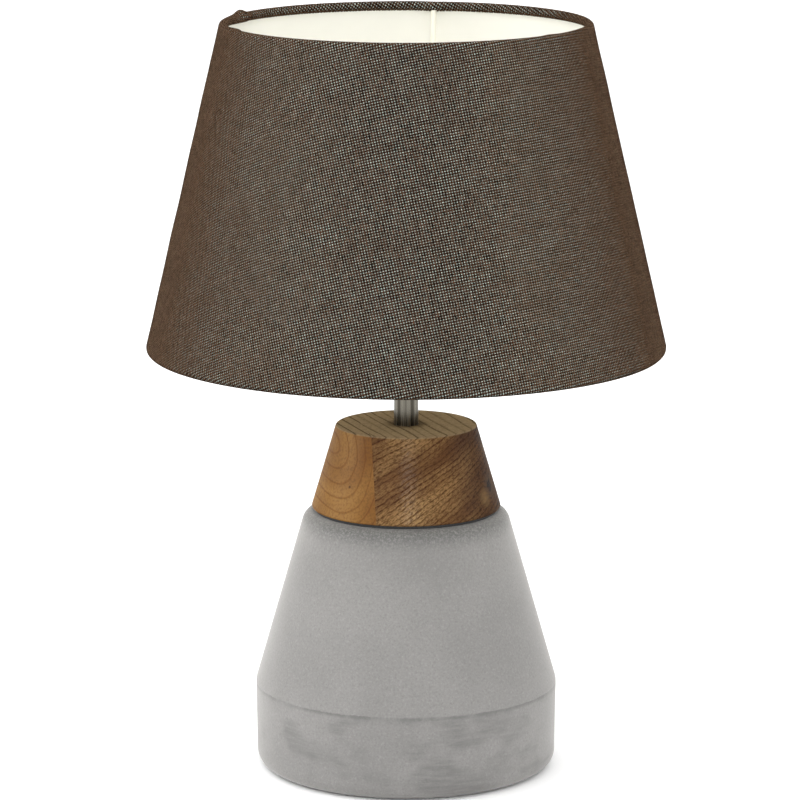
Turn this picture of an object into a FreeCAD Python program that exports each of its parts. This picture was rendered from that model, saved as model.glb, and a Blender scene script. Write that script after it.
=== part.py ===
import FreeCAD, Part
import math
import os

# Table lamp: a cast concrete base, a turned wooden collar, a plain metal tube, an E27 lamp
# holder and a conical fabric shade on a wire frame.  Millimetres, +Z up, origin on the table
# under the middle of the base.  Every part of the lamp shares the vertical axis.

# ---- driving dimensions ----
LAMP_HEIGHT = 365.0
SHADE_HEIGHT = 159.0
SHADE_TOP_RADIUS = 89.4
SHADE_BOTTOM_RADIUS = 125.4
SHADE_HEM_RADIUS = 2.2
FABRIC_THICKNESS = 0.75
LINING_THICKNESS = 0.6
LINING_OFFSET = 0.7
LINING_END_GAP = 2.4
FRAME_WIRE_RADIUS = 1.4

BASE_SOLE = 0.5
BASE_FOOT_RADIUS = 72.7
BASE_SHOULDER_RADIUS = 73.4
BASE_SHOULDER_HEIGHT = 42.5
BASE_TOP_RADIUS = 49.1
BASE_TOP_HEIGHT = 127.1
BASE_EDGE_ROUND = 7.4
BASE_TOP_ROUND = 6.0
CAVITY_MOUTH_RADIUS = 52.0
CAVITY_ROOF_RADIUS = 30.0
CAVITY_ROOF_HEIGHT = 102.0
CAVITY_ROUND = 8.0
PAD_RADIUS = 63.5
PAD_THICKNESS = 2.0
PAD_CLEARANCE = 0.4

GASKET_RADIUS = 44.0
COLLAR_BOTTOM = 128.6
COLLAR_BOTTOM_RADIUS = 46.1
COLLAR_TOP = 169.3
COLLAR_TOP_RADIUS = 34.1
COLLAR_EDGE_ROUND = 0.9
COLLAR_SEAM_DISTANCE = 21.5
COLLAR_SEAM_ANGLE = 9.7

ROD_RADIUS = 4.9
ROD_BORE_RADIUS = 3.75
ROD_FIT = 0.1
ROD_BOTTOM = 86.0
ROD_TOP = 229.0
CASTING_BORE_RADIUS = 5.5
TUBE_RADIUS = 5.95
TUBE_TOP = 214.0

INLET_HEIGHT = 16.0
INLET_RADIUS = 3.4
GROMMET_RADIUS = 5.0
GROMMET_FLANGE_RADIUS = 7.3
GROMMET_INNER_END = 51.0
GROMMET_FLANGE_START = 70.0
GROMMET_OUTER_END = 72.4

WASHER_RADIUS = 20.0
WASHER_THICKNESS = 2.0
LOCK_WASHER_RADIUS = 8.5
LOCK_WASHER_THICKNESS = 1.6
NUT_FLATS = 14.0
NUT_THICKNESS = 5.0
HOLDER_NUT_THICKNESS = 3.0

HOLDER_BOTTOM = TUBE_TOP + HOLDER_NUT_THICKNESS
CAP_BOSS_RADIUS = 9.0
CAP_BOSS_HEIGHT = 8.0
CAP_RADIUS = 18.5
CAP_WALL = 2.0
CAP_TOP = 241.0
CAP_SLOPE_TOP = 233.0
GRUB_RADIUS = 1.5
GRUB_HEIGHT = 221.0
SHOULDER_BOTTOM = 249.8
SHOULDER_TOP = 251.8
SHOULDER_RADIUS = 23.5
BODY_TOP = 271.5
BODY_INNER_RADIUS = 16.9
BODY_LIP_RADIUS = 14.3
BODY_LIP_THICKNESS = 1.3
THREAD_CREST_RADIUS = 19.6
THREAD_DEPTH = 0.9
THREAD_PITCH = 2.5
THREAD_TURNS = 7
INSERT_RADIUS = 16.8
INSERT_BORE_RADIUS = 13.9
INSERT_FLOOR = 4.0
INSERT_TOP = 270.2
SHELL_OUTER_RADIUS = 13.8
SHELL_INNER_RADIUS = 13.3
SHELL_BOTTOM = 247.6
SHELL_TOP = 268.0
TERMINAL_SPACING = 16.0
TERMINAL_SIZE = (6.0, 7.0, 7.0)
TERMINAL_BORE = 1.6

FITTER_BORE_RADIUS = 20.6
FITTER_RADIUS = 31.0
FITTER_THICKNESS = 2.0
DROP_WIRE_COUNT = 3
DROP_WIRE_AZIMUTH = 80.6
DROP_WIRE_TOP_RADIUS = 84.4
DROP_WIRE_TOP = 363.4
DROP_WIRE_BEND_RADIUS = 12.0
DROP_WIRE_FOOT_RADIUS = 70.6
DROP_WIRE_END_RADIUS = 27.5
HEM_NOTCH_RADIUS = 1.9

RING_BORE_RADIUS = 19.9
RING_RADIUS = 26.5
RING_HEIGHT = 7.0
RING_GRIPS = 20
RING_GRIP_RADIUS = 1.3

CONTACT_TOP = 247.0
TIP_RADIUS = 4.8
TIP_HEIGHT = 1.2
TIP_GAP = 0.05
BULB_CAP_RADIUS = 13.0
BULB_CAP_WALL = 0.5
BULB_CAP_BOTTOM = 251.25
BULB_CAP_TOP = 271.8
BULB_INSULATOR_RADIUS = 11.5
BULB_RADIUS = 17.5
BULB_WALL = 1.2
BULB_NECK_RADIUS = 14.0
BULB_TAPER_TOP = 292.0
BULB_SEAM = 300.0
BULB_TOP = 346.0
LED_POST_RADIUS = 6.0
LED_DISC_RADIUS = 14.4
LED_DISC_BOTTOM = 284.0
LED_DISC_THICKNESS = 2.0
LED_POST_TOP = 334.0
LED_ROWS = 6
LED_PITCH = 7.0
LED_SIZE = (2.8, 3.6, 0.8)
LED_END_MARGIN = 0.6
DRIVER_BOARD_SIZE = (14.0, 1.6, 28.0)
DRIVER_BOARD_HEIGHT = 268.5
CAPACITOR_RADIUS = 3.5
CAPACITOR_LENGTH = 12.0
CAPACITOR_SETBACK = 4.3
CAPACITOR_BOTTOM = 264.0

# ---- small edge rounds and details ----
FINE_ROUND = 0.5
SMALL_ROUND = 0.6
EDGE_ROUND = 1.0
BOSS_ROUND = 0.8
BOSS_FOOT_ROUND = 2.0
CAP_ROUND = 3.0
CAP_INNER_ROUND = 1.5
BULB_TAPER_ROUND = 6.0
BULB_CAP_SHOULDER = 2.5
BULB_CAP_INNER_SHOULDER = 2.8
INSULATOR_RISE = 2.0
GRUB_SLOT = (1.0, 0.5)
TERMINAL_SCREW_HEAD_RADIUS = 2.4
TERMINAL_SLOT_WIDTH = 0.6
TERMINAL_SLOT_LENGTH = 6.0
CONTACT_FOOT_START = -10.0
CONTACT_FOOT_END = -5.0
CONTACT_PAD_START = -2.0
CONTACT_PAD_END = 3.0
CONTACT_SLOPE_SHIFT = 0.3
HEM_NOTCH_LENGTH = 12.0
GRIP_SETBACK = 0.6
THREAD_FIRST_TURN = 0.15
THREAD_CREST_START = 0.3
THREAD_CREST_END = 0.5
THREAD_ROOT_START = 0.8

# ---- levels and places that follow ----
UP = FreeCAD.Vector(0, 0, 1)
ORIGIN = FreeCAD.Vector(0, 0, 0)
SHADE_TOP_CENTRE = (SHADE_TOP_RADIUS - SHADE_HEM_RADIUS, LAMP_HEIGHT - SHADE_HEM_RADIUS)
SHADE_BOTTOM_CENTRE = (
    SHADE_BOTTOM_RADIUS - SHADE_HEM_RADIUS,
    LAMP_HEIGHT - SHADE_HEIGHT + SHADE_HEM_RADIUS,
)
FITTER_BOTTOM = SHOULDER_TOP
FITTER_TOP = FITTER_BOTTOM + FITTER_THICKNESS


# ---- shared geometry ----
def at(radius, height):
    """A point of a half section, in the XZ plane."""
    return FreeCAD.Vector(radius, 0, height)


def revolved(edges):
    """A solid of revolution about the lamp's axis from a closed half section."""
    face = Part.Face(Part.Wire(edges))
    return face.revolve(ORIGIN, UP, 360)


def outline(corners):
    """Edges of a closed half section; a corner is (radius, height) or (radius, height, round)."""
    count = len(corners)
    starts, ends, arcs = [], [], []
    for index, corner in enumerate(corners):
        here = at(corner[0], corner[1])
        before = at(*corners[index - 1][:2])
        after = at(*corners[(index + 1) % count][:2])
        size = corner[2] if len(corner) > 2 else 0
        if size == 0:
            starts.append(here)
            ends.append(here)
            arcs.append(None)
            continue
        back = (before - here).normalize()
        ahead = (after - here).normalize()
        half = back.getAngle(ahead) / 2
        bisector = (back + ahead).normalize()
        reach = size / math.tan(half)
        middle = here + bisector * (size / math.sin(half) - size)
        starts.append(here + back * reach)
        ends.append(here + ahead * reach)
        arcs.append(Part.Arc(starts[-1], middle, ends[-1]).toShape())
    edges = []
    for index in range(count):
        if arcs[index]:
            edges.append(arcs[index])
        following = (index + 1) % count
        edges.append(Part.LineSegment(ends[index], starts[following]).toShape())
    return edges


def ring(inner, outer, bottom, top):
    """A plain round washer or tube."""
    return revolved(outline([(inner, bottom), (outer, bottom), (outer, top), (inner, top)]))


def turned(shape, angle):
    """A copy turned about the lamp's axis by an angle in degrees."""
    copy = shape.copy()
    copy.rotate(ORIGIN, UP, angle)
    return copy


def block(size, centre):
    """A rectangular block about its centre."""
    corner = FreeCAD.Vector(*[middle - side / 2 for middle, side in zip(centre, size)])
    return Part.makeBox(size[0], size[1], size[2], corner)


def hexagon(flats, bottom, height):
    """A hexagonal prism on the axis, given across its flats."""
    corner = flats / math.sqrt(3)
    points = [
        FreeCAD.Vector(
            corner * math.cos(math.radians(60 * k)), corner * math.sin(math.radians(60 * k)), bottom
        )
        for k in range(7)
    ]
    return Part.Face(Part.makePolygon(points)).extrude(UP * height)


def nut(bottom, height):
    """A plain hexagon nut on the threaded rod, with its corners turned off on both sides."""
    bore = Part.makeCylinder(ROD_RADIUS + ROD_FIT, height, FreeCAD.Vector(0, 0, bottom))
    corner = NUT_FLATS / math.sqrt(3)
    slope = (corner - NUT_FLATS / 2) * 0.5
    envelope = revolved(outline([
        (0, bottom),
        (NUT_FLATS / 2, bottom),
        (corner, bottom + slope),
        (corner, bottom + height - slope),
        (NUT_FLATS / 2, bottom + height),
        (0, bottom + height),
    ]))
    return hexagon(NUT_FLATS, bottom, height).common(envelope).cut(bore)


# ---- base ----
def base_casting():
    """Concrete cone on a short upright foot, open below, with a bore up the middle."""
    body = revolved(outline([
        (CASTING_BORE_RADIUS, BASE_TOP_HEIGHT),
        (BASE_TOP_RADIUS, BASE_TOP_HEIGHT, BASE_TOP_ROUND),
        (BASE_SHOULDER_RADIUS, BASE_SHOULDER_HEIGHT, BASE_EDGE_ROUND),
        (BASE_FOOT_RADIUS, BASE_SOLE, BASE_EDGE_ROUND),
        (PAD_RADIUS + PAD_CLEARANCE, BASE_SOLE),
        (PAD_RADIUS + PAD_CLEARANCE, PAD_THICKNESS),
        (CAVITY_MOUTH_RADIUS, PAD_THICKNESS),
        (CAVITY_ROOF_RADIUS, CAVITY_ROOF_HEIGHT, CAVITY_ROUND),
        (CASTING_BORE_RADIUS, CAVITY_ROOF_HEIGHT),
    ]))
    inlet = rearward_rod(GROMMET_RADIUS, CAVITY_ROOF_RADIUS, BASE_SHOULDER_RADIUS + 1)
    seat = rearward_rod(GROMMET_FLANGE_RADIUS, GROMMET_FLANGE_START, BASE_SHOULDER_RADIUS + 1)
    return body.cut(inlet).cut(seat)


def rearward_rod(radius, start, end):
    """A cylinder along +Y at the height of the cord inlet."""
    return Part.makeCylinder(
        radius, end - start, FreeCAD.Vector(0, start, INLET_HEIGHT), FreeCAD.Vector(0, 1, 0)
    )


def base_pad():
    """Soft round pad let into the underside, which closes the cavity."""
    return ring(0, PAD_RADIUS, 0, PAD_THICKNESS)


def cord_grommet():
    """Flanged rubber bush in the rear of the foot, where a cord would enter."""
    sleeve = rearward_rod(GROMMET_RADIUS, GROMMET_INNER_END, GROMMET_FLANGE_START)
    flange = rearward_rod(GROMMET_FLANGE_RADIUS, GROMMET_FLANGE_START, GROMMET_OUTER_END)
    hole = rearward_rod(INLET_RADIUS, GROMMET_INNER_END, GROMMET_OUTER_END)
    return sleeve.fuse(flange).cut(hole).removeSplitter()


def rod_washer():
    """Broad steel washer under the roof of the cavity."""
    return ring(
        ROD_RADIUS + ROD_FIT, WASHER_RADIUS, CAVITY_ROOF_HEIGHT - WASHER_THICKNESS, CAVITY_ROOF_HEIGHT
    )


def rod_lock_washer():
    """Split spring washer below the broad one."""
    top = CAVITY_ROOF_HEIGHT - WASHER_THICKNESS
    washer = ring(ROD_RADIUS + ROD_FIT, LOCK_WASHER_RADIUS, top - LOCK_WASHER_THICKNESS, top)
    slit = block(
        (LOCK_WASHER_RADIUS, LOCK_WASHER_THICKNESS, 2 * LOCK_WASHER_THICKNESS),
        (LOCK_WASHER_RADIUS, 0, top - LOCK_WASHER_THICKNESS / 2),
    )
    return washer.cut(slit)


def rod_nut():
    """Nut that clamps the base, the collar and the tube together."""
    top = CAVITY_ROOF_HEIGHT - WASHER_THICKNESS - LOCK_WASHER_THICKNESS
    return nut(top - NUT_THICKNESS, NUT_THICKNESS)


def threaded_rod():
    """Hollow M10 rod from the cavity to the lamp holder; its fine thread is left plain."""
    chamfer = ROD_FIT * 5
    return revolved(outline([
        (ROD_BORE_RADIUS, ROD_BOTTOM),
        (ROD_RADIUS - chamfer, ROD_BOTTOM),
        (ROD_RADIUS, ROD_BOTTOM + chamfer),
        (ROD_RADIUS, ROD_TOP - chamfer),
        (ROD_RADIUS - chamfer, ROD_TOP),
        (ROD_BORE_RADIUS, ROD_TOP),
    ]))


# ---- collar and tube ----
def collar_gasket():
    """Thin black ring recessed between the concrete and the wood."""
    return ring(CASTING_BORE_RADIUS, GASKET_RADIUS, BASE_TOP_HEIGHT, COLLAR_BOTTOM)


def collar_board(wide):
    """One of the two boards that are glued side by side and turned to a cone."""
    collar = revolved(outline([
        (CASTING_BORE_RADIUS, COLLAR_BOTTOM),
        (COLLAR_BOTTOM_RADIUS, COLLAR_BOTTOM, COLLAR_EDGE_ROUND),
        (COLLAR_TOP_RADIUS, COLLAR_TOP, COLLAR_EDGE_ROUND),
        (CASTING_BORE_RADIUS, COLLAR_TOP),
    ]))
    side = 3 * COLLAR_BOTTOM_RADIUS
    beyond = block((side, side, side), (-COLLAR_SEAM_DISTANCE - side / 2, 0, COLLAR_BOTTOM))
    beyond = turned(beyond, COLLAR_SEAM_ANGLE)
    return collar.cut(beyond) if wide else collar.common(beyond)


def collar_board_wide():
    """The board that holds the bore."""
    return collar_board(True)


def collar_board_narrow():
    """The board beyond the glue line."""
    return collar_board(False)


def tube_sleeve():
    """Bright metal tube over the rod, from the collar up to the holder."""
    return ring(ROD_RADIUS + ROD_FIT, TUBE_RADIUS, COLLAR_TOP, TUBE_TOP)


# ---- lamp holder ----
def holder_nut():
    """Thin nut that locks the holder on the rod, above the tube."""
    return nut(TUBE_TOP, HOLDER_NUT_THICKNESS)


def holder_cap():
    """Lower half of the holder: a boss on the rod that widens into a cup."""
    boss_top = HOLDER_BOTTOM + CAP_BOSS_HEIGHT
    floor = boss_top + CAP_WALL * 2
    cap = revolved(outline([
        (ROD_RADIUS + ROD_FIT, HOLDER_BOTTOM),
        (CAP_BOSS_RADIUS, HOLDER_BOTTOM, BOSS_ROUND),
        (CAP_BOSS_RADIUS, boss_top, BOSS_FOOT_ROUND),
        (CAP_RADIUS, CAP_SLOPE_TOP, CAP_ROUND),
        (CAP_RADIUS, CAP_TOP),
        (CAP_RADIUS - CAP_WALL, CAP_TOP),
        (CAP_RADIUS - CAP_WALL, CAP_SLOPE_TOP, CAP_INNER_ROUND),
        (CAP_BOSS_RADIUS, floor),
        (ROD_RADIUS + ROD_FIT, floor),
    ]))
    hole = Part.makeCylinder(
        GRUB_RADIUS, CAP_RADIUS, FreeCAD.Vector(0, 0, GRUB_HEIGHT), FreeCAD.Vector(0, 1, 0)
    )
    return cap.cut(hole)


def holder_grub_screw():
    """Set screw through the boss, which stops the holder turning on the rod."""
    start = ROD_RADIUS + ROD_FIT
    length = CAP_BOSS_RADIUS - start
    screw = Part.makeCylinder(
        GRUB_RADIUS, length, FreeCAD.Vector(0, start, GRUB_HEIGHT), FreeCAD.Vector(0, 1, 0)
    )
    slot = block((2 * GRUB_RADIUS, *GRUB_SLOT), (0, CAP_BOSS_RADIUS, GRUB_HEIGHT))
    return screw.cut(slot).common(rounded_boss())


def rounded_boss():
    """The cylinder of the boss, which the set screw's end is flush with."""
    return Part.makeCylinder(CAP_BOSS_RADIUS, CAP_BOSS_HEIGHT, FreeCAD.Vector(0, 0, HOLDER_BOTTOM))


def holder_body():
    """Upper half of the holder: a skirt, a shoulder for the shade and a coarse thread above it."""
    corners = [
        (BODY_INNER_RADIUS, CAP_TOP),
        (CAP_RADIUS + 1, CAP_TOP, FINE_ROUND),
        (CAP_RADIUS + 1, SHOULDER_BOTTOM),
        (SHOULDER_RADIUS, SHOULDER_BOTTOM, FINE_ROUND),
        (SHOULDER_RADIUS, SHOULDER_TOP),
    ]
    root = THREAD_CREST_RADIUS - THREAD_DEPTH
    corners.append((root, SHOULDER_TOP))
    for turn in range(THREAD_TURNS):
        start = SHOULDER_TOP + THREAD_PITCH * (turn + THREAD_FIRST_TURN)
        corners.append((root, start))
        corners.append((THREAD_CREST_RADIUS, start + THREAD_PITCH * THREAD_CREST_START))
        corners.append((THREAD_CREST_RADIUS, start + THREAD_PITCH * THREAD_CREST_END))
        corners.append((root, start + THREAD_PITCH * THREAD_ROOT_START))
    corners += [
        (root, BODY_TOP, SMALL_ROUND),
        (BODY_LIP_RADIUS, BODY_TOP, FINE_ROUND),
        (BODY_LIP_RADIUS, BODY_TOP - BODY_LIP_THICKNESS),
        (BODY_INNER_RADIUS, BODY_TOP - BODY_LIP_THICKNESS),
    ]
    return revolved(outline(corners))


def holder_insert():
    """Insulating cup inside the holder, whose floor carries the contacts."""
    floor_bottom = CAP_TOP
    floor_top = floor_bottom + INSERT_FLOOR
    return revolved(outline([
        (0, floor_bottom),
        (INSERT_RADIUS, floor_bottom),
        (INSERT_RADIUS, INSERT_TOP),
        (INSERT_BORE_RADIUS, INSERT_TOP),
        (INSERT_BORE_RADIUS, floor_top),
        (0, floor_top),
    ]))


def screw_shell():
    """Brass sleeve that the bulb's cap screws into; its rounded thread is left plain."""
    foot = 1.2
    return revolved(outline([
        (SHELL_OUTER_RADIUS - foot, SHELL_BOTTOM - foot),
        (SHELL_OUTER_RADIUS, SHELL_BOTTOM - foot, SMALL_ROUND),
        (SHELL_OUTER_RADIUS, SHELL_TOP),
        (SHELL_INNER_RADIUS, SHELL_TOP),
        (SHELL_INNER_RADIUS, SHELL_BOTTOM),
        (SHELL_OUTER_RADIUS - foot, SHELL_BOTTOM),
    ]))


def centre_contact():
    """Springy brass strip that presses up against the bulb's tip."""
    floor = CAP_TOP + INSERT_FLOOR
    strip = 0.6
    width = 5.0
    top = CONTACT_TOP
    points = [
        (CONTACT_FOOT_START, floor),
        (CONTACT_FOOT_END, floor),
        (CONTACT_PAD_START, top - strip),
        (CONTACT_PAD_END, top - strip),
        (CONTACT_PAD_END, top),
        (CONTACT_PAD_START - CONTACT_SLOPE_SHIFT, top),
        (CONTACT_FOOT_END - CONTACT_SLOPE_SHIFT, floor + strip),
        (CONTACT_FOOT_START, floor + strip),
    ]
    corners = [FreeCAD.Vector(x, -width / 2, z) for x, z in points]
    face = Part.Face(Part.makePolygon(corners + corners[:1]))
    return face.extrude(FreeCAD.Vector(0, width, 0))


def terminal_blocks():
    """Two brass blocks under the insert that take the ends of the wires."""
    blocks = []
    for side in (-1, 1):
        centre = (side * TERMINAL_SPACING / 2, 0, CAP_TOP - TERMINAL_SIZE[2] / 2)
        bore = terminal_rod(side, TERMINAL_BORE, 0, TERMINAL_SIZE[0])
        blocks.append(block(TERMINAL_SIZE, centre).cut(bore))
    return Part.makeCompound(blocks)


def terminal_rod(side, radius, start, length):
    """A cylinder outward along X from a distance into a terminal block."""
    inner = TERMINAL_SPACING / 2 - TERMINAL_SIZE[0] / 2 + start
    height = CAP_TOP - TERMINAL_SIZE[2] / 2
    base = FreeCAD.Vector(side * inner, 0, height)
    return Part.makeCylinder(radius, length, base, FreeCAD.Vector(side, 0, 0))


def terminal_screws():
    """The two screws that clamp the wires in their blocks."""
    head = 1.4
    shank = 4.0
    screws = []
    for side in (-1, 1):
        body = terminal_rod(side, TERMINAL_BORE - ROD_FIT, TERMINAL_SIZE[0] - shank, shank)
        top = terminal_rod(side, TERMINAL_SCREW_HEAD_RADIUS, TERMINAL_SIZE[0], head)
        slot_x = side * (TERMINAL_SPACING / 2 + TERMINAL_SIZE[0] / 2 + head)
        slot_size = (head, TERMINAL_SLOT_WIDTH, TERMINAL_SLOT_LENGTH)
        slot = block(slot_size, (slot_x, 0, CAP_TOP - TERMINAL_SIZE[2] / 2))
        screws.append(body.fuse(top).cut(slot))
    return Part.makeCompound(screws)


# ---- shade ----
def shade_directions():
    """Unit vectors of the shade's side in the half section: down the slope, and outward."""
    top, bottom = at(*SHADE_TOP_CENTRE), at(*SHADE_BOTTOM_CENTRE)
    down = (bottom - top).normalize()
    outward = FreeCAD.Vector(-down.z, 0, down.x)
    return top, bottom, down, outward


def side_point(along, offset):
    """A point of the half section, along the side from the top ring and out from its middle."""
    top, bottom, down, outward = shade_directions()
    return top + down * along + outward * offset


def shade_fabric():
    """Woven cover: a cone whose two edges are turned over the wire rings."""
    top, bottom, down, outward = shade_directions()
    length = (bottom - top).Length
    outer = SHADE_HEM_RADIUS
    inner = outer - FABRIC_THICKNESS
    tuck = math.radians(40)
    edges = []

    def turn(centre, sign, radius, reverse):
        """Half circle over a ring, carried on by the tuck, from outside to inside or back."""
        angles = [0, (math.pi + tuck) / 2, math.pi + tuck]
        points = [
            centre + outward * (radius * math.cos(a)) - down * (sign * radius * math.sin(a)) for a in angles
        ]
        if reverse:
            points.reverse()
        edges.append(Part.Arc(*points).toShape())
        return points[0], points[-1]

    top_outer = turn(top, 1, outer, False)
    top_inner = turn(top, 1, inner, True)
    bottom_inner = turn(bottom, -1, inner, False)
    bottom_outer = turn(bottom, -1, outer, True)
    for start, end in (
        (top_outer[1], top_inner[0]),
        (top_inner[1], bottom_inner[0]),
        (bottom_inner[1], bottom_outer[0]),
        (bottom_outer[1], top_outer[0]),
    ):
        edges.append(Part.LineSegment(start, end).toShape())
    cover = revolved(Part.__sortEdges__(edges))
    for index in range(DROP_WIRE_COUNT):
        start = at(DROP_WIRE_TOP_RADIUS, DROP_WIRE_TOP - HEM_NOTCH_LENGTH / 2)
        notch = Part.makeCylinder(HEM_NOTCH_RADIUS, HEM_NOTCH_LENGTH, start)
        cover = cover.cut(turned(notch, drop_azimuth(index)))
    return cover


def shade_lining():
    """Stiff white lining behind the fabric, ending short of both rings."""
    top, bottom, down, outward = shade_directions()
    last = (bottom - top).Length - LINING_END_GAP
    inner = LINING_OFFSET
    outer = LINING_OFFSET + LINING_THICKNESS
    corners = [
        side_point(LINING_END_GAP, inner),
        side_point(LINING_END_GAP, outer),
        side_point(last, outer),
        side_point(last, inner),
    ]
    return revolved(Part.makePolygon(corners + corners[:1]).Edges)


def wire_ring(centre):
    """A round wire bent to a full circle."""
    return Part.makeTorus(centre[0], FRAME_WIRE_RADIUS, FreeCAD.Vector(0, 0, centre[1]))


def top_ring():
    """Wire ring inside the top edge of the shade."""
    return wire_ring(SHADE_TOP_CENTRE)


def bottom_ring():
    """Wire ring inside the bottom edge of the shade."""
    return wire_ring(SHADE_BOTTOM_CENTRE)


def drop_azimuth(index):
    """Direction of one of the drop wires, in degrees from +X."""
    return DROP_WIRE_AZIMUTH + index * 360 / DROP_WIRE_COUNT


def drop_wire(index):
    """Wire from the top ring down the inside, then in to the edge of the fitter."""
    level = FITTER_TOP + FRAME_WIRE_RADIUS
    start = at(DROP_WIRE_TOP_RADIUS, DROP_WIRE_TOP)
    corner = at(DROP_WIRE_FOOT_RADIUS, level)
    end = at(DROP_WIRE_END_RADIUS, level)
    back = (start - corner).normalize()
    ahead = (end - corner).normalize()
    half = back.getAngle(ahead) / 2
    reach = DROP_WIRE_BEND_RADIUS / math.tan(half)
    bend_start = corner + back * reach
    bend_end = corner + ahead * reach
    depth = DROP_WIRE_BEND_RADIUS / math.sin(half) - DROP_WIRE_BEND_RADIUS
    bend_middle = corner + (back + ahead).normalize() * depth
    path = Part.Wire([
        Part.LineSegment(start, bend_start).toShape(),
        Part.Arc(bend_start, bend_middle, bend_end).toShape(),
        Part.LineSegment(bend_end, end).toShape(),
    ])
    section = Part.Wire(Part.makeCircle(FRAME_WIRE_RADIUS, start, back))
    return turned(path.makePipeShell([section], True, True), drop_azimuth(index))


def fitter_ring():
    """Flat ring at the foot of the drop wires, which sits on the holder's shoulder."""
    return ring(FITTER_BORE_RADIUS, FITTER_RADIUS, FITTER_BOTTOM, FITTER_TOP)


def shade_ring():
    """Threaded ring with finger grips that clamps the fitter on the holder."""
    body = revolved(outline([
        (RING_BORE_RADIUS, FITTER_TOP),
        (RING_RADIUS, FITTER_TOP, FINE_ROUND),
        (RING_RADIUS, FITTER_TOP + RING_HEIGHT, EDGE_ROUND),
        (RING_BORE_RADIUS, FITTER_TOP + RING_HEIGHT, FINE_ROUND),
    ]))
    grip = Part.makeCylinder(RING_GRIP_RADIUS, RING_HEIGHT, at(RING_RADIUS + GRIP_SETBACK, FITTER_TOP))
    for index in range(RING_GRIPS):
        body = body.cut(turned(grip, index * 360 / RING_GRIPS))
    return body


# ---- bulb ----
def bulb_contact_tip():
    """Round contact under the bulb."""
    return revolved(outline([
        (0, CONTACT_TOP),
        (TIP_RADIUS, CONTACT_TOP, FINE_ROUND),
        (TIP_RADIUS, CONTACT_TOP + TIP_HEIGHT),
        (0, CONTACT_TOP + TIP_HEIGHT),
    ]))


def bulb_insulator():
    """Black cone between the tip and the screw cap."""
    bottom = CONTACT_TOP + TIP_HEIGHT + TIP_GAP
    plug = BULB_INSULATOR_RADIUS - 2 * BULB_CAP_WALL
    return revolved(outline([
        (0, bottom),
        (TIP_RADIUS, bottom),
        (BULB_INSULATOR_RADIUS, BULB_CAP_BOTTOM),
        (plug, BULB_CAP_BOTTOM),
        (plug, BULB_CAP_BOTTOM + INSULATOR_RISE),
        (0, BULB_CAP_BOTTOM + INSULATOR_RISE),
    ]))


def bulb_cap():
    """Thin metal screw cap; its rounded thread is left plain."""
    neck = BULB_INSULATOR_RADIUS
    return revolved(outline([
        (neck - 2 * BULB_CAP_WALL, BULB_CAP_BOTTOM),
        (neck, BULB_CAP_BOTTOM),
        (BULB_CAP_RADIUS, BULB_CAP_BOTTOM + BULB_CAP_SHOULDER, EDGE_ROUND),
        (BULB_CAP_RADIUS, BULB_CAP_TOP),
        (BULB_CAP_RADIUS - BULB_CAP_WALL, BULB_CAP_TOP),
        (BULB_CAP_RADIUS - BULB_CAP_WALL, BULB_CAP_BOTTOM + BULB_CAP_INNER_SHOULDER, SMALL_ROUND),
        (neck - 2 * BULB_CAP_WALL, BULB_CAP_BOTTOM + SMALL_ROUND),
    ]))


def bulb_housing():
    """White housing that widens from the cap to the full width of the bulb."""
    return revolved(outline([
        (BULB_NECK_RADIUS - BULB_WALL, BULB_CAP_TOP),
        (BULB_NECK_RADIUS, BULB_CAP_TOP, FINE_ROUND),
        (BULB_RADIUS, BULB_TAPER_TOP, BULB_TAPER_ROUND),
        (BULB_RADIUS, BULB_SEAM),
        (BULB_RADIUS - BULB_WALL, BULB_SEAM),
        (BULB_RADIUS - BULB_WALL, BULB_TAPER_TOP, BULB_TAPER_ROUND),
    ]))


def bulb_diffuser():
    """Opal tube with a round end."""
    inner = BULB_RADIUS - BULB_WALL
    centre = BULB_TOP - BULB_RADIUS
    diagonal = math.sqrt(0.5)
    edges = [
        Part.LineSegment(at(inner, BULB_SEAM), at(BULB_RADIUS, BULB_SEAM)).toShape(),
        Part.LineSegment(at(BULB_RADIUS, BULB_SEAM), at(BULB_RADIUS, centre)).toShape(),
        Part.Arc(
            at(BULB_RADIUS, centre),
            at(BULB_RADIUS * diagonal, centre + BULB_RADIUS * diagonal),
            at(0, centre + BULB_RADIUS),
        ).toShape(),
        Part.LineSegment(at(0, centre + BULB_RADIUS), at(0, centre + inner)).toShape(),
        Part.Arc(
            at(0, centre + inner),
            at(inner * diagonal, centre + inner * diagonal),
            at(inner, centre),
        ).toShape(),
        Part.LineSegment(at(inner, centre), at(inner, BULB_SEAM)).toShape(),
    ]
    return revolved(edges)


def led_post():
    """Aluminium heat spreader: a disc in the housing with a six-sided post on it."""
    disc = ring(0, LED_DISC_RADIUS, LED_DISC_BOTTOM, LED_DISC_BOTTOM + LED_DISC_THICKNESS)
    start = LED_DISC_BOTTOM + LED_DISC_THICKNESS
    return disc.fuse(hexagon(2 * LED_POST_RADIUS, start, LED_POST_TOP - start))


def led_chips():
    """The small light-emitting chips in rows on the post's faces."""
    chips = []
    for row in range(LED_ROWS):
        height = LED_POST_TOP - LED_PITCH * (row + LED_END_MARGIN)
        chip = block(
            (LED_SIZE[2], LED_SIZE[0], LED_SIZE[1]), (LED_POST_RADIUS + LED_SIZE[2] / 2, 0, height)
        )
        for face in range(6):
            chips.append(turned(chip, 30 + 60 * face))
    return Part.makeCompound(chips)


def driver_board():
    """Small circuit board standing in the cap and the housing."""
    return block(DRIVER_BOARD_SIZE, (0, 0, DRIVER_BOARD_HEIGHT))


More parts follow.
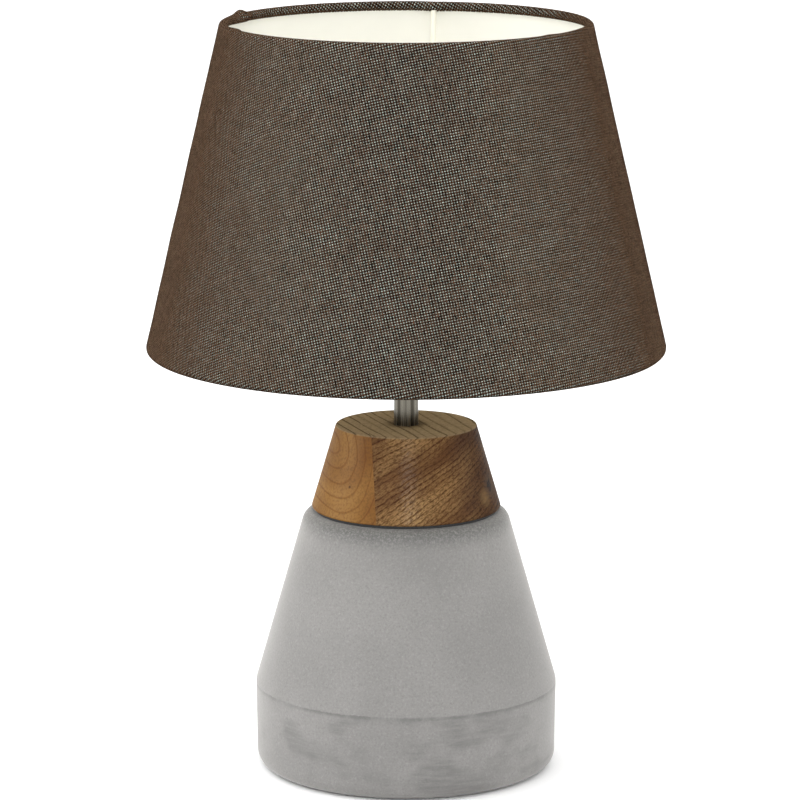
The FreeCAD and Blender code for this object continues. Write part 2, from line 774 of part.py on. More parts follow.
def driver_capacitor():
    """Round capacitor on the board."""
    foot = FreeCAD.Vector(0, CAPACITOR_SETBACK, CAPACITOR_BOTTOM)
    return Part.makeCylinder(CAPACITOR_RADIUS, CAPACITOR_LENGTH, foot)


SUB_PARTS = [
    base_casting,
    base_pad,
    cord_grommet,
    rod_washer,
    rod_lock_washer,
    rod_nut,
    threaded_rod,
    collar_gasket,
    collar_board_wide,
    collar_board_narrow,
    tube_sleeve,
    holder_nut,
    holder_cap,
    holder_grub_screw,
    holder_body,
    holder_insert,
    screw_shell,
    centre_contact,
    terminal_blocks,
    terminal_screws,
    shade_fabric,
    shade_lining,
    top_ring,
    bottom_ring,
    fitter_ring,
    shade_ring,
    bulb_contact_tip,
    bulb_insulator,
    bulb_cap,
    bulb_housing,
    bulb_diffuser,
    led_post,
    led_chips,
    driver_board,
    driver_capacitor,
]

os.makedirs("parts", exist_ok=True)
shapes = {make.__name__: make() for make in SUB_PARTS}
for index in range(DROP_WIRE_COUNT):
    shapes["drop_wire_%d" % (index + 1)] = drop_wire(index)
for name, shape in shapes.items():
    shape.exportStep("parts/%s.step" % name)
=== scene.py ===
import bisect
import math

import bpy
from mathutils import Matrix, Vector, noise


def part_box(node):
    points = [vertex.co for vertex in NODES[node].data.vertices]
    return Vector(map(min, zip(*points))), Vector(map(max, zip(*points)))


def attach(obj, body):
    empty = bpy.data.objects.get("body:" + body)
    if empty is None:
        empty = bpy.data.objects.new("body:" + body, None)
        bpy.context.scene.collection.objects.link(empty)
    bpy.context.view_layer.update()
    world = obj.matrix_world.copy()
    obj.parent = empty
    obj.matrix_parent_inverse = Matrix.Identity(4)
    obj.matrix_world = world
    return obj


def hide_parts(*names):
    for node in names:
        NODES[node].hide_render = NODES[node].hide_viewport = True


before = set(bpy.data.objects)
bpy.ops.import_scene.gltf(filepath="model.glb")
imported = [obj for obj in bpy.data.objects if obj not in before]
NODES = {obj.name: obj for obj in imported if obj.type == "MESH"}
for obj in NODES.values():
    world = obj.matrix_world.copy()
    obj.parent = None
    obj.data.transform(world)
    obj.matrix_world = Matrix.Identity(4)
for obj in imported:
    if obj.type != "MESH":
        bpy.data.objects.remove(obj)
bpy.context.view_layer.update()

MM = 0.001

# ---- camera and light ----
CAMERA_PLACE = (-0.0030, -2.0754, 0.6020)
CAMERA_TILT = math.radians(78.534)
CAMERA_LENS = 196.9
CAMERA_SENSOR = 36.0
LAMP_TARGET = Vector((0.0, 0.0, 0.18))
WINDOW_AZIMUTH = math.radians(3.0)
# the window fades in between these angles off its middle
WINDOW_REACH = (math.radians(7.0), math.radians(4.0))
WINDOW_STRENGTH = 14.0
FLOOR_SIZE = 24.0

# ---- shade, as the frame has it ----
SHADE_LOW, SHADE_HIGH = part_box("shade_fabric")
HEM_RADIUS = 2.2 * MM
TOP_RING_RADIUS = 87.2 * MM
BOTTOM_RING_RADIUS = 123.2 * MM
LINING_OFFSET = 0.7 * MM
DROP_WIRE_AZIMUTHS = (80.6, 200.6, 320.6)

# ---- cloth: a thin backing with the threads standing on it ----
BACKING_THICKNESS = 0.45 * MM
THREAD_RISE = 0.34 * MM
WEFT_RISE = 0.9 * THREAD_RISE
THREAD_WIDTH = 0.76 * MM
WARP_PITCH = 1.28 * MM
WEFT_PITCH = 1.245 * MM
GRAIN_ANGLE = math.radians(12.5)
FRONT_AZIMUTH = 270.0
HEM_TAIL = 2.2 * MM
HEM_WRAP = math.radians(205)
HEM_STEP = 1.1 * MM
WARP_STEP = 8.0 * MM
WEFT_STEP = 5.0 * MM
BACKING_STEPS = 480
# a yarn's section: (across, height) of its corners, as shares of the thread's width and rise
YARN_SECTION = ((-0.5, 1.0), (0.5, 1.0), (0.0, -0.05))
# a thread's width in the weave's coordinates, as a share of the pitch
THREAD_SHARE = 0.6
# how much thicker and thinner a yarn gets, as a share of its width, and how far it drifts, as a share of the
# pitch; each with how fast it changes, from thread to thread and per metre along a thread
WIDTH_VARIATION = 0.2
WIDTH_CHANGE = (1.7, 90.0)
DRIFT = 0.14
DRIFT_CHANGE = (0.09, 22.0)
RIPPLE = 0.22 * MM
RIPPLE_CHANGE = 55.0
# painted shade: the cloth darkens between these heights above its lower edge, where it turns round the bottom
# ring
HEM_SHADE_HEIGHTS = (2.6 * MM, 0.5 * MM)

# ---- the cloth's folded seam, and its bulges over the drop wires, with angles in degrees ----
SEAM_AZIMUTH = 152.8
SEAM_LAP = 12.0
SEAM_STEP = 1.3 * MM
SEAM_BUMP = 1.4 * MM
SEAM_BUMP_ANGLE = 2.6
SEAM_COVER = 3.2 * MM
WIRE_COVER = 3.5 * MM
WIRE_COVER_HALF_ANGLE = 3.2

# ---- collar: a wide board with steep rings, and a narrow one glued to its left ----
COLLAR_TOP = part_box("collar_board_wide")[1].z
WIDE_BOARD_TURN = math.radians(19.9)
# the piths, as (place across the board's rings, height)
WIDE_PITH = (0.097, -0.025)
WIDE_RING_SPACING = 2.3 * MM
NARROW_BOARD_TURN = math.radians(9.7)
NARROW_PITH = (-0.037, 0.163)
NARROW_RING_SPACING = 6.2 * MM
# the narrow board's rings are this much narrower than they are tall
NARROW_RING_SQUASH = 0.52
# the stripes on the narrow board's top are the wide board's ring spacing divided by this apart
TOP_STRIPE_SPREAD = 0.454
PIN_KNOT_SCALE = 105.0
KNOT = (0.0399, -0.0129, 0.1416)
PALE_SPOT = (0.0365, -0.0205, 0.1370)

# ---- concrete casting ----
CASTING_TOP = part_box("base_casting")[1].z
SHOULDER = 42.0 * MM

# ---- bulb cap ----
CAP_PITCH = 3.629 * MM
CAP_THREAD_DEPTH = 0.75 * MM
CAP_WALL = 0.5 * MM
# the thread fades over these shares of the cap's height, at its lower and its upper end
CAP_FADE_LOW = 0.14
CAP_FADE_HIGH = 0.10
# below that share the cap narrows, at a rate given for its whole height
CAP_TAPER_SHARE = 0.10
CAP_TAPER = 12.0 * MM


class Graph:
    """A node tree, with short calls for the nodes that are used here."""

    def __init__(self, owner, shader):
        owner.use_nodes = True
        self.owner = owner
        self.tree = owner.node_tree
        self.shader = self.tree.nodes[shader]

    def set(self, socket, value):
        """Gives a socket of the shader a fixed value or another node's output."""
        target = self.shader.inputs[socket]
        if isinstance(value, bpy.types.NodeSocket):
            self.tree.links.new(value, target)
        elif isinstance(value, tuple) and len(value) == 3:
            target.default_value = (*value, 1.0)
        else:
            target.default_value = value

    def node(self, kind, inputs=(), **settings):
        made = self.tree.nodes.new(kind)
        for key, value in settings.items():
            setattr(made, key, value)
        for key, value in dict(inputs).items():
            if isinstance(value, bpy.types.NodeSocket):
                self.tree.links.new(value, made.inputs[key])
            elif value is not None:
                made.inputs[key].default_value = value
        return made

    def math(self, operation, a, b=None, c=None, clamp=False):
        inputs = {0: a}
        if b is not None:
            inputs[1] = b
        if c is not None:
            inputs[2] = c
        return self.node("ShaderNodeMath", inputs, operation=operation, use_clamp=clamp).outputs[0]

    def add(self, a, b):
        return self.math("ADD", a, b)

    def sub(self, a, b):
        return self.math("SUBTRACT", a, b)

    def mul(self, a, b):
        return self.math("MULTIPLY", a, b)

    def place(self):
        """The point of the surface in the object's own frame, in metres."""
        return self.node("ShaderNodeTexCoord").outputs["Object"]

    def split(self, vector):
        outputs = self.node("ShaderNodeSeparateXYZ", {0: vector}).outputs
        return outputs[0], outputs[1], outputs[2]

    def join(self, x=0.0, y=0.0, z=0.0):
        return self.node("ShaderNodeCombineXYZ", {0: x, 1: y, 2: z}).outputs[0]

    def scaled(self, vector, factors):
        return self.node("ShaderNodeVectorMath", {0: vector, 1: factors}, operation="MULTIPLY").outputs[0]

    def noise(self, vector, scale, detail=2.0, roughness=0.5):
        inputs = {"Vector": vector, "Scale": scale, "Detail": detail, "Roughness": roughness}
        return self.node("ShaderNodeTexNoise", inputs).outputs["Fac"]

    def random(self, vector):
        made = self.node("ShaderNodeTexWhiteNoise", {"Vector": vector}, noise_dimensions="3D")
        return made.outputs["Value"]

    def fit(self, value, low, high, to_low=0.0, to_high=1.0, smooth=True):
        """Maps a value from one range to another, held at the ends."""
        kind = "SMOOTHSTEP" if smooth else "LINEAR"
        made = self.node(
            "ShaderNodeMapRange",
            {"Value": value, "From Min": low, "From Max": high, "To Min": to_low, "To Max": to_high},
            interpolation_type=kind,
        )
        return made.outputs[0]

    def mix(self, factor, a, b, blend="MIX"):
        """Blends two colours, each a socket or an (r, g, b) tuple."""
        made = self.tree.nodes.new("ShaderNodeMix")
        made.data_type = "RGBA"
        made.blend_type = blend
        for key, value in ((0, factor), (6, a), (7, b)):
            if isinstance(value, bpy.types.NodeSocket):
                self.tree.links.new(value, made.inputs[key])
            elif isinstance(value, tuple):
                made.inputs[key].default_value = (*value, 1.0)
            else:
                made.inputs[key].default_value = value
        return made.outputs[2]

    def bump(self, height, distance, strength=1.0, normal=None):
        inputs = {"Height": height, "Distance": distance, "Strength": strength}
        if normal is not None:
            inputs["Normal"] = normal
        return self.node("ShaderNodeBump", inputs).outputs[0]

    def length(self, a, b):
        """The long side of a right triangle with the short sides a and b."""
        return self.math("SQRT", self.add(self.mul(a, a), self.mul(b, b)))

    def distance(self, vector, point):
        made = self.node("ShaderNodeVectorMath", {0: vector, 1: point}, operation="DISTANCE")
        return made.outputs["Value"]

    def turned(self, vector, angle):
        """A point's coordinates on horizontal axes that are turned by the angle."""
        x, y, _ = self.split(vector)
        first = self.add(self.mul(x, math.cos(angle)), self.mul(y, math.sin(angle)))
        second = self.sub(self.mul(y, math.cos(angle)), self.mul(x, math.sin(angle)))
        return first, second


# ---- materials ----
def material(name, **sockets):
    """A new material's graph, with fixed values on its shader's sockets."""
    g = Graph(bpy.data.materials.new(name), "Principled BSDF")
    for socket, value in sockets.items():
        g.set(socket.replace("_", " "), value)
    return g


def weave(g):
    """The weave's own coordinates, counted in threads: across the warp and along it on the backing, and
    across and along a thread on the threads."""
    return g.split(g.node("ShaderNodeUVMap", uv_map="weave").outputs[0])[:2]


def backing_material():
    """The pale lining as it shows in the gaps of the weave, lighter and darker from gap to gap. It is painted
    brown at the seam."""
    g = material("cloth_backing", Roughness=1.0, Specular_IOR_Level=0.0)
    across, along = weave(g)
    cell = g.join(g.math("FLOOR", across), g.math("FLOOR", along))
    cloud = g.noise(g.join(across, along), 0.06, 3.0)
    fuzz = g.noise(g.join(across, along, 3.0), 3.0, 2.0, 0.7)
    pale = g.mix(g.random(cell), (0.32, 0.41, 0.375), (0.66, 0.81, 0.745))
    pale = g.mix(g.fit(cloud, 0.35, 0.7, 0.0, 0.3), pale, (0.40, 0.38, 0.32))
    pale = g.mix(g.fit(fuzz, 0.6, 0.8, 0.0, 0.5), pale, (0.10, 0.07, 0.05))
    place = g.place()
    off_seam = g.math("ABSOLUTE", g.turned(place, math.radians(SEAM_AZIMUTH))[1])
    on_seam_side = g.fit(g.split(place)[0], 0.0, -1.0 * MM)
    at_seam = g.mul(g.fit(off_seam, SEAM_COVER, 0.75 * SEAM_COVER), on_seam_side)
    g.set("Base Color", g.mix(at_seam, pale, (0.035, 0.022, 0.016)))
    return g.owner


def thread_material():
    """Brown slub yarn with orange fibres here and there; painted shade darkens it where it crosses another
    thread and at its foot, with a painted highlight on its crest and painted shade along the cloth's lower
    edge.
    """
    g = material("cloth_thread", Roughness=1.0, Specular_IOR_Level=0.0)
    g.set("Sheen Weight", 0.32)
    g.set("Sheen Roughness", 0.2)
    g.set("Sheen Tint", (0.66, 0.42, 0.24))
    across, along = weave(g)
    thread = g.math("FLOOR", g.add(across, 0.5))
    # painted shade: this wave dips where the thread crosses another and darkens it there; it also gives the
    # bump
    crossing_shade_wave = g.mul(g.math("COSINE", g.mul(along, math.tau)), -1.0)
    fibre = g.noise(g.join(g.mul(across, 1.9), g.mul(along, 1.3)), 1.0, 3.0, 0.75)
    slub = g.noise(g.join(g.mul(thread, 3.7), g.mul(along, 0.3)), 1.0, 3.0, 0.7)
    ember = g.noise(g.join(g.mul(across, 1.3), g.mul(along, 0.9), 9.0), 1.0, 1.0)
    off_crest = g.math("ABSOLUTE", g.sub(across, thread))
    # the yarn's tone from its fibres and slubs, with painted shade added at the crossings
    shade = g.add(g.fit(fibre, 0.34, 0.66, -0.2, 0.9), g.mul(crossing_shade_wave, 0.42))
    shade = g.add(shade, g.fit(slub, 0.34, 0.66, -0.32, 0.36))
    # painted highlight along each thread's crest and painted shade at its foot, next to the backing
    shade = g.add(shade, g.fit(off_crest, THREAD_SHARE / 2, 0.04, -0.3, 0.2))
    brown = g.mix(g.fit(shade, 0.0, 1.0), (0.002, 0.0016, 0.0016), (0.092, 0.0575, 0.040))
    brown = g.mix(g.fit(ember, 0.6, 0.8, 0.0, 0.5), brown, (0.16, 0.068, 0.03))
    height = g.split(g.place())[2]
    # painted shade along the bottom hem, darker towards the cloth's lower edge
    hem_shade = g.fit(height, SHADE_LOW.z + HEM_SHADE_HEIGHTS[0], SHADE_LOW.z + HEM_SHADE_HEIGHTS[1], 0.0, 0.85)
    g.set("Base Color", g.mix(hem_shade, brown, (0.006, 0.004, 0.004)))
    g.set("Normal", g.bump(g.add(g.mul(fibre, 0.6), g.mul(crossing_shade_wave, 0.5)), 0.12 * MM, 0.7))
    return g.owner


def wood_rings(g, distance, spacing, late_share):
    """Growth rings by distance from the pith: 1 on the thin dark latewood line, 0 on the pale wood between.
    The line fades in over the late share of a ring and ends sharply."""
    phase = g.math("FRACT", g.math("DIVIDE", distance, spacing))
    rising = g.fit(phase, 1.0 - late_share, 0.88)
    falling = g.fit(phase, 0.92, 1.0, 1.0, 0.0)
    return g.mul(rising, falling)


def wood_sway(g, place, turn, scales):
    """Unevenness of a board about nought, with its own fineness across the rings, along the fibre and up."""
    side, fibre = g.turned(place, turn)
    height = g.split(place)[2]
    stretched = g.join(g.mul(side, scales[0]), g.mul(fibre, scales[1]), g.mul(height, scales[2]))
    return g.sub(g.noise(stretched, 1.0, 2.0), 0.5)


def near_top(g, place, depth):
    """1 on the collar's top face, 0 below that depth."""
    return g.fit(g.split(place)[2], COLLAR_TOP - depth, COLLAR_TOP - 0.1 * MM)


def dull_top_with_tube_shadow(g, place, lines, grain):
    """The collar's top: duller end grain, with a painted shadow round the tube."""
    x, y, _ = g.split(place)
    dull = g.mix(g.mul(lines, 0.85), (0.235, 0.168, 0.095), (0.045, 0.029, 0.018))
    # painted shadow: the top darkens towards the tube's foot
    dull = g.mix(g.fit(g.length(x, y), 13.0 * MM, 6.0 * MM, 0.0, 0.6), dull, (0.03, 0.02, 0.012))
    return g.mix(g.fit(grain, 0.35, 0.7, 0.0, 0.35), dull, (0.06, 0.044, 0.028))


def wood_finish(g, colour, lines, place):
    """Satin varnish over open grain on the collar's side, and none on its top."""
    grain = g.noise(g.scaled(place, (900.0, 900.0, 900.0)), 1.0, 2.0)
    patches = g.noise(place, 45.0, 2.0)
    colour = g.mix(g.fit(patches, 0.3, 0.75, 0.0, 0.4), colour, (0.55, 0.42, 0.32), "MULTIPLY")
    colour = g.mix(g.fit(grain, 0.42, 0.68, 0.0, 0.4), colour, (0.08, 0.036, 0.016))
    on_top = near_top(g, place, 0.75 * MM)
    g.set("Base Color", g.mix(on_top, colour, dull_top_with_tube_shadow(g, place, lines, grain)))
    satin = g.fit(grain, 0.3, 0.7, 0.36, 0.5)
    g.set("Roughness", g.math("MAXIMUM", satin, g.mul(on_top, 0.95)))
    relief = g.add(g.mul(lines, -0.7), g.mul(grain, 0.3))
    g.set("Normal", g.bump(relief, 0.16 * MM, 0.7))
    g.set("Specular IOR Level", 0.0)
    g.set("Coat Weight", g.mul(g.sub(1.0, on_top), 0.13))
    g.set("Coat Roughness", 0.2)
    g.set("Coat Normal", g.bump(relief, 0.45 * MM, 1.0))


def add_knot(g, colour, place, around_knot, fine):
    """The wide board's knot: greyed wood round a dark core, and a paler spot in front of it."""
    spot = g.fit(g.distance(place, PALE_SPOT), 6.5 * MM, 1.0 * MM, 0.0, 0.4)
    colour = g.mix(spot, colour, (0.26, 0.17, 0.075))
    colour = g.mix(g.mul(around_knot, 0.5), colour, (0.05, 0.045, 0.038))
    ragged = g.add(g.distance(place, KNOT), g.mul(fine, 4.0 * MM))
    return g.mix(g.fit(ragged, 3.6 * MM, 1.4 * MM, 0.0, 0.9), colour, (0.012, 0.010, 0.009))


def wood_wide_material():
    """The main board: nearly straight rings that rise to the right across the front, round a far pith."""
    g = material("collar_wood", IOR=1.5)
    place = g.place()
    side, fibre = g.turned(place, WIDE_BOARD_TURN)
    around_knot = g.fit(g.distance(place, KNOT), 9.0 * MM, 1.0 * MM)
    slow = wood_sway(g, place, WIDE_BOARD_TURN, (18.0, 5.0, 22.0))
    fine = wood_sway(g, place, WIDE_BOARD_TURN, (160.0, 25.0, 160.0))
    distance = g.length(g.sub(side, WIDE_PITH[0]), g.sub(g.split(place)[2], WIDE_PITH[1]))
    for sway, reach in ((slow, 5.2 * MM), (fine, 1.4 * MM), (around_knot, 3.5 * MM)):
        distance = g.add(distance, g.mul(sway, reach))
    lines = wood_rings(g, distance, WIDE_RING_SPACING, 0.42)
    along_ring = g.join(g.mul(distance, 260.0), 0.0, g.mul(fibre, 3.0))
    strength = g.fit(g.noise(along_ring, 1.0, 1.0), 0.3, 0.7, 0.45, 1.0)
    pores = g.join(g.mul(distance, 1800.0), g.mul(side, 650.0), g.mul(fibre, 650.0))
    flecks = g.noise(pores, 1.0, 2.0, 0.6)
    lines = g.mul(g.mul(lines, strength), g.fit(flecks, 0.3, 0.55, 0.45, 1.0))
    streaks = g.join(g.mul(distance, 70.0), g.mul(side, 20.0), 2.0)
    reddish = g.fit(g.noise(streaks, 1.0, 2.0), 0.35, 0.7)
    pale = g.mix(reddish, (0.255, 0.155, 0.064), (0.10, 0.048, 0.019))
    pale = g.mix(g.fit(flecks, 0.4, 0.68, 0.0, 0.75), pale, (0.045, 0.020, 0.008))
    colour = g.mix(g.mul(lines, 0.95), pale, (0.030, 0.009, 0.004))
    # darker towards the right of the board: partly a darker heartwood tone, partly painted shade on the side
    # away from the light
    heartwood_and_shade = g.fit(side, 2.0 * MM, 30.0 * MM)
    colour = g.mix(heartwood_and_shade, colour, (0.29, 0.225, 0.17), "MULTIPLY")
    colour = add_knot(g, colour, place, around_knot, fine)
    wood_finish(g, colour, lines, place)
    return g.owner


def wood_narrow_material():
    """The narrow board: wide pale rings round a pith near its upper corner, with a few pin knots. Its top has
    stripes in the wide board's direction."""
    g = material("collar_wood_pale", IOR=1.5)
    place = g.place()
    side = g.turned(place, NARROW_BOARD_TURN)[0]
    height = g.split(place)[2]
    slow = wood_sway(g, place, NARROW_BOARD_TURN, (40.0, 8.0, 40.0))
    across = g.math("DIVIDE", g.sub(side, NARROW_PITH[0]), NARROW_RING_SQUASH)
    distance = g.length(across, g.sub(height, NARROW_PITH[1]))
    distance = g.add(distance, g.mul(slow, 4.2 * MM))
    lines = wood_rings(g, distance, NARROW_RING_SPACING, 0.2)
    streaks = g.join(g.mul(distance, 60.0), g.mul(height, 30.0), 2.0)
    reddish = g.fit(g.noise(streaks, 1.0, 2.0), 0.35, 0.7)
    to_joint = g.fit(side, -34.0 * MM, -21.0 * MM)
    pale = g.mix(g.mul(g.add(reddish, to_joint), 0.5), (0.235, 0.125, 0.036), (0.150, 0.067, 0.020))
    colour = g.mix(g.mul(lines, 0.42), pale, (0.10, 0.03, 0.01))
    cells = g.node("ShaderNodeTexVoronoi", {"Vector": place, "Scale": PIN_KNOT_SCALE}, feature="F1")
    pin_knots = g.fit(cells.outputs["Distance"], 0.10, 0.05)
    colour = g.mix(g.mul(pin_knots, 0.8), colour, (0.045, 0.02, 0.012))
    across_top = g.mul(g.turned(place, WIDE_BOARD_TURN)[0], TOP_STRIPE_SPREAD)
    stripes = wood_rings(g, g.add(across_top, g.mul(slow, 2.0 * MM)), WIDE_RING_SPACING, 0.28)
    on_top = near_top(g, place, 1.0 * MM)
    lines = g.add(g.mul(lines, g.sub(1.0, on_top)), g.mul(stripes, on_top))
    wood_finish(g, colour, lines, place)
    return g.owner


def concrete_body(g, place, grain, coarse, speckle):
    """Pale grey with soft clouds, grains and fine dark and light specks."""
    clouds = g.noise(place, 22.0, 3.0, 0.5)
    base = g.mix(g.fit(clouds, 0.3, 0.7), (0.184, 0.179, 0.173), (0.214, 0.208, 0.201))
    base = g.mix(g.fit(grain, 0.3, 0.75, 0.0, 0.28), base, (0.18, 0.176, 0.17))
    base = g.mix(g.fit(coarse, 0.55, 0.8, 0.0, 0.25), base, (0.165, 0.161, 0.157))
    base = g.mix(g.fit(speckle, 0.5, 0.72, 0.0, 0.48), base, (0.115, 0.112, 0.108))
    return g.mix(g.fit(speckle, 0.48, 0.3, 0.0, 0.34), base, (0.31, 0.303, 0.293))


def shoulder_line(g, place):
    """1 on the broken line just under the casting's shoulder, 0 elsewhere."""
    ragged = g.sub(g.noise(place, 300.0, 3.0, 0.7), 0.5)
    below = g.sub(g.math("MULTIPLY_ADD", ragged, 1.2 * MM, SHOULDER), g.split(place)[2])
    line = g.mul(g.fit(below, -0.3 * MM, 0.15 * MM), g.fit(below, 2.4 * MM, 0.1 * MM))
    return g.mul(line, g.fit(g.noise(place, 60.0, 3.0, 0.7), 0.34, 0.6, 0.2, 1.0))


def mark_foot(g, base, place, line):
    """Adds what darkens the foot: brushed stains, darker patches just under the shoulder, and the line
    itself.
    """
    height = g.split(place)[2]
    on_foot = g.fit(height, SHOULDER + 0.8 * MM, SHOULDER - 1.2 * MM)
    brushed = g.noise(g.scaled(place, (60.0, 60.0, 600.0)), 1.0, 4.0, 0.7)
    patches = g.noise(g.scaled(place, (1.0, 1.0, 1.6)), 38.0, 2.0, 0.5)
    stain = g.mul(g.fit(patches, 0.44, 0.66), g.fit(brushed, 0.3, 0.65, 0.3, 1.0))
    base = g.mix(g.mul(g.mul(stain, on_foot), 0.75), base, (0.125, 0.122, 0.118))
    under_shoulder_patches = g.fit(g.noise(place, 75.0, 3.0, 0.6), 0.42, 0.66, 0.0, 0.6)
    under_line = g.mul(g.fit(height, SHOULDER - 6.0 * MM, SHOULDER), on_foot)
    base = g.mix(g.mul(under_line, under_shoulder_patches), base, (0.115, 0.115, 0.112))
    return g.mix(g.mul(line, 0.55), base, (0.085, 0.085, 0.08))


def concrete_material():
    """Pale grey cast concrete, darker in a line round the shoulder and on the foot, with painted shade under
    the collar and along its lower edge.
    """
    g = material("concrete", Roughness=0.82, Specular_IOR_Level=0.25)
    g.set("Sheen Weight", 0.36)
    g.set("Sheen Roughness", 0.45)
    g.set("Sheen Tint", (0.95, 0.93, 0.9))
    place = g.place()
    height = g.split(place)[2]
    grain = g.noise(place, 1400.0, 2.0, 0.6)
    coarse = g.noise(place, 420.0, 3.0, 0.6)
    speckle = g.noise(place, 950.0, 3.0, 0.8)
    line = shoulder_line(g, place)
    base = mark_foot(g, concrete_body(g, place, grain, coarse, speckle), place, line)
    # painted shadow of the collar on the casting's top, broken up by the specks
    collar_shadow = g.fit(height, CASTING_TOP - 11.0 * MM, CASTING_TOP - 1.0 * MM)
    collar_shadow = g.mul(collar_shadow, g.fit(speckle, 0.35, 0.6, 0.3, 1.0))
    base = g.mix(g.mul(collar_shadow, 0.85), base, (0.085, 0.084, 0.081))
    # painted shade along the casting's lower edge, next to the pad
    bottom_shade = g.fit(height, 2.2 * MM, 0.4 * MM)
    g.set("Base Color", g.mix(g.mul(bottom_shade, 0.25), base, (0.08, 0.08, 0.076)))
    relief = g.add(g.mul(grain, 0.4), g.add(g.mul(coarse, 0.5), g.mul(line, -0.8)))
    g.set("Normal", g.bump(relief, 0.18 * MM, 0.55))
    return g.owner


def brushed_metal(name, colour, roughness, axis_scale):
    """Metal with fine lines, drawn out along the axes on which the scale is small."""
    g = material(name, Metallic=1.0)
    place = g.place()
    lines = g.noise(g.scaled(place, axis_scale), 1.0, 2.0, 0.6)
    smudge = g.noise(place, 60.0, 2.0)
    darker = tuple(channel * 0.86 for channel in colour)
    g.set("Base Color", g.mix(g.fit(lines, 0.3, 0.7), darker, colour))
    g.set("Roughness", g.add(g.fit(smudge, 0.3, 0.7, roughness, roughness * 1.35), g.mul(lines, 0.06)))
    g.set("Normal", g.bump(lines, 0.01 * MM, 0.35))
    return g.owner


def tube_material():
    """Satin nickel tube, drawn along its length, with fine hairlines, and light and dark bands of painted
    reflection side by side round it.
    """
    g = material("satin_nickel", Metallic=1.0, Anisotropic=0.6)
    place = g.place()
    x, y, _ = g.split(place)
    azimuth = g.math("ARCTAN2", y, x)
    # painted reflection: light and dark bands fixed round the tube, centred towards its front
    wide = g.math("COSINE", g.mul(g.sub(azimuth, math.radians(267.0)), 11.0))
    narrow = g.math("COSINE", g.mul(g.sub(azimuth, math.radians(300.0)), 5.0))
    streaks = g.add(g.mul(wide, 0.6), g.mul(narrow, 0.4))
    hairlines = g.noise(g.scaled(place, (2500.0, 2500.0, 20.0)), 1.0, 2.0, 0.6)
    # colour: the painted reflection bands, then the darker hairlines over them
    tone = g.mix(g.fit(streaks, -0.4, 0.8), (0.165, 0.154, 0.128), (0.05, 0.045, 0.036))
    g.set("Base Color", g.mix(g.fit(hairlines, 0.3, 0.7, 0.0, 0.3), tone, (0.10, 0.092, 0.075)))
    g.set("Roughness", g.fit(hairlines, 0.3, 0.7, 0.24, 0.34))
    g.set("Normal", g.bump(hairlines, 0.004 * MM, 0.3))
    return g.owner


def moulded(name, colour, roughness, grain_scale=1800.0, variation=0.12, **sockets):
    """Moulded plastic, rubber, paint or glaze with a fine texture and a little unevenness of tone."""
    g = material(name, **sockets)
    place = g.place()
    grain = g.noise(place, grain_scale, 2.0, 0.6)
    tone = g.noise(place, 45.0, 2.0)
    darker = tuple(channel * (1.0 - variation) for channel in colour)
    g.set("Base Color", g.mix(g.fit(tone, 0.3, 0.7), darker, colour))
    g.set("Roughness", g.fit(grain, 0.3, 0.7, roughness * 0.85, min(1.0, roughness * 1.15)))
    g.set("Normal", g.bump(grain, 0.02 * MM, 0.4))
    return g.owner


# ---- meshes ----
def smooth_mesh(name, vertices, faces, places=()):
    """A smooth-shaded mesh, with the weave's coordinates for each face corner where they are given."""
    mesh = bpy.data.meshes.new(name)
    mesh.from_pydata(vertices, [], faces)
    if places:
        layer = mesh.uv_layers.new(name="weave")
        layer.data.foreach_set("uv", [value for place in places for value in place])
    mesh.shade_smooth()
    return mesh


def make_object(mesh, look):
    """An object with that mesh, its name and one material."""
    mesh.materials.append(look)
    made = bpy.data.objects.new(mesh.name, mesh)
    bpy.context.scene.collection.objects.link(made)
    return made


def section_faces(around, count):
    """Faces that join closed sections of count points, one after another round the axis, into a ring."""
    faces = []
    for step in range(around):
        here = step * count
        following = (step + 1) % around * count
        for k in range(count):
            beyond = (k + 1) % count
            faces.append((here + k, following + k, following + beyond, here + beyond))
    return faces


def ramp(value, start, end):
    """0 at the start, 1 at the end, and held beyond both."""
    return max(0.0, min(1.0, (value - start) / (end - start)))


def shade_axes():
    """Both ring centres, and the directions down the side and outward, each as (radius, height)."""
    top = Vector((TOP_RING_RADIUS, SHADE_HIGH.z - HEM_RADIUS))
    bottom = Vector((BOTTOM_RING_RADIUS, SHADE_LOW.z + HEM_RADIUS))
    down = (bottom - top).normalized()
    outward = Vector((-down.y, down.x))
    return top, bottom, down, outward


def hem_points(centre, away, outward):
    """The middle of the backing from where the side leaves a ring, round it and on to the inner edge. Away is
    the direction along the side to the other ring."""
    middle = HEM_RADIUS - THREAD_RISE - BACKING_THICKNESS / 2
    rest = LINING_OFFSET - BACKING_THICKNESS / 2 - THREAD_RISE / 2
    steps = 16
    tail_steps = 3
    points = []
    for k in range(1, steps + 1):
        angle = HEM_WRAP * k / steps
        points.append(centre + outward * middle * math.cos(angle) - away * middle * math.sin(angle))
    last = points[-1]
    end = centre + away * HEM_TAIL + outward * rest
    points.extend(last.lerp(end, k / tail_steps) for k in range(1, tail_steps + 1))
    return points


def cloth_path():
    """The middle of the backing in the half section: (distance along the cloth, point, outward normal), from
    the inner edge of the top hem over the top ring, down the outside and round the bottom ring."""
    top, bottom, down, outward = shade_axes()
    out = outward * (HEM_RADIUS - THREAD_RISE - BACKING_THICKNESS / 2)
    side_steps = 28
    side = [(top + out).lerp(bottom + out, k / side_steps) for k in range(side_steps + 1)]
    top_hem = hem_points(top, down, outward)
    points = top_hem[::-1] + side + hem_points(bottom, -down, outward)
    lengths = [0.0]
    for before, after in zip(points, points[1:]):
        lengths.append(lengths[-1] + (after - before).length)
    side_start = lengths[len(top_hem)]
    path = []
    for k, point in enumerate(points):
        tangent = (points[min(k + 1, len(points) - 1)] - points[max(k - 1, 0)]).normalized()
        path.append((lengths[k] - side_start, point, Vector((-tangent.y, tangent.x))))
    return path


